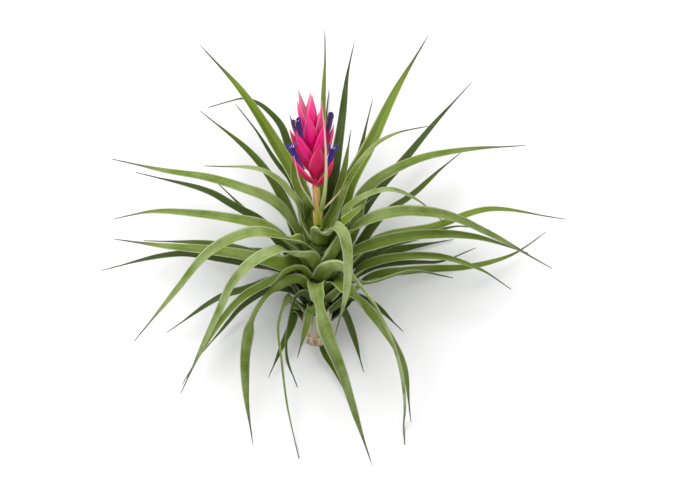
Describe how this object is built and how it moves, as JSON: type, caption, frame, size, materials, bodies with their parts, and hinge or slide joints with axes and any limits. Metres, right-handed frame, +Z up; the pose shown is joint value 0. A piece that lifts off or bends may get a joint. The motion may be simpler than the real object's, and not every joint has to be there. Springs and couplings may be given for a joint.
{
  "type": "stricta air plant",
  "caption": "Stricta air plant in flower lying on its side: a rosette of narrow silvery green leaves round a pink spike with violet flowers.",
  "frame": {"origin": "centre of the footprint's bounding box, on the floor it lies on", "axes": "+Z up off the floor, +Y the way the flower spike leans, +X to the right seen from above with the spike at the top"},
  "size_m": [0.1774, 0.1642, 0.0678],
  "materials": {
    "leaf": "matte, silvery with fine scales",
    "stem": "matte",
    "dry_sheath": "dry and papery",
    "stalk": "satin",
    "bract": "satin",
    "petal": "satin"
  },
  "bodies": {
    "root": {"stem": "stem", "dry_sheath": "dry_sheath", "stalk": "stalk", "spike": "bract", "flower_right": "petal", "flower_left": "petal", "flower_front": "petal", "flower_top": "petal", "leaf_left_tall": "leaf", "leaf_left_hook": "leaf", "leaf_left_slip": "leaf", "leaf_left_slant": "leaf", "leaf_left_wisp": "leaf", "leaf_left_long": "leaf", "leaf_left_shade": "leaf", "leaf_left_dart": "leaf", "leaf_left_level": "leaf", "leaf_left_under": "leaf", "leaf_left_broad": "leaf", "leaf_left_far": "leaf", "leaf_left_bow": "leaf", "leaf_left_arch": "leaf", "leaf_left_low": "leaf", "leaf_left_sweep": "leaf", "leaf_left_tuck": "leaf", "leaf_fore_left": "leaf", "leaf_fore_long": "leaf", "leaf_fore_hook": "leaf", "leaf_fore_short": "leaf", "leaf_fore_wide": "leaf", "leaf_fore_great": "leaf", "leaf_fore_twin": "leaf", "leaf_heart_curl": "leaf", "leaf_back_spire": "leaf", "leaf_back_rod": "leaf", "leaf_right_tall": "leaf", "leaf_right_slip": "leaf", "leaf_right_slant": "leaf", "leaf_right_wisp": "leaf", "leaf_right_long": "leaf", "leaf_right_shade": "leaf", "leaf_right_crook": "leaf", "leaf_right_bow": "leaf", "leaf_right_far": "leaf", "leaf_right_thin": "leaf", "leaf_right_broad": "leaf", "leaf_right_level": "leaf", "leaf_right_rise": "leaf", "leaf_right_under": "leaf", "leaf_right_tuck": "leaf", "leaf_right_stub": "leaf", "leaf_heart_fold": "leaf", "leaf_heart_right": "leaf", "leaf_heart_left": "leaf", "leaf_fore_base": "leaf", "leaf_under_left": "leaf", "leaf_under_right": "leaf", "leaf_under_back": "leaf", "leaf_under_fore": "leaf", "leaf_under_side": "leaf"}
  },
  "joints": []
}
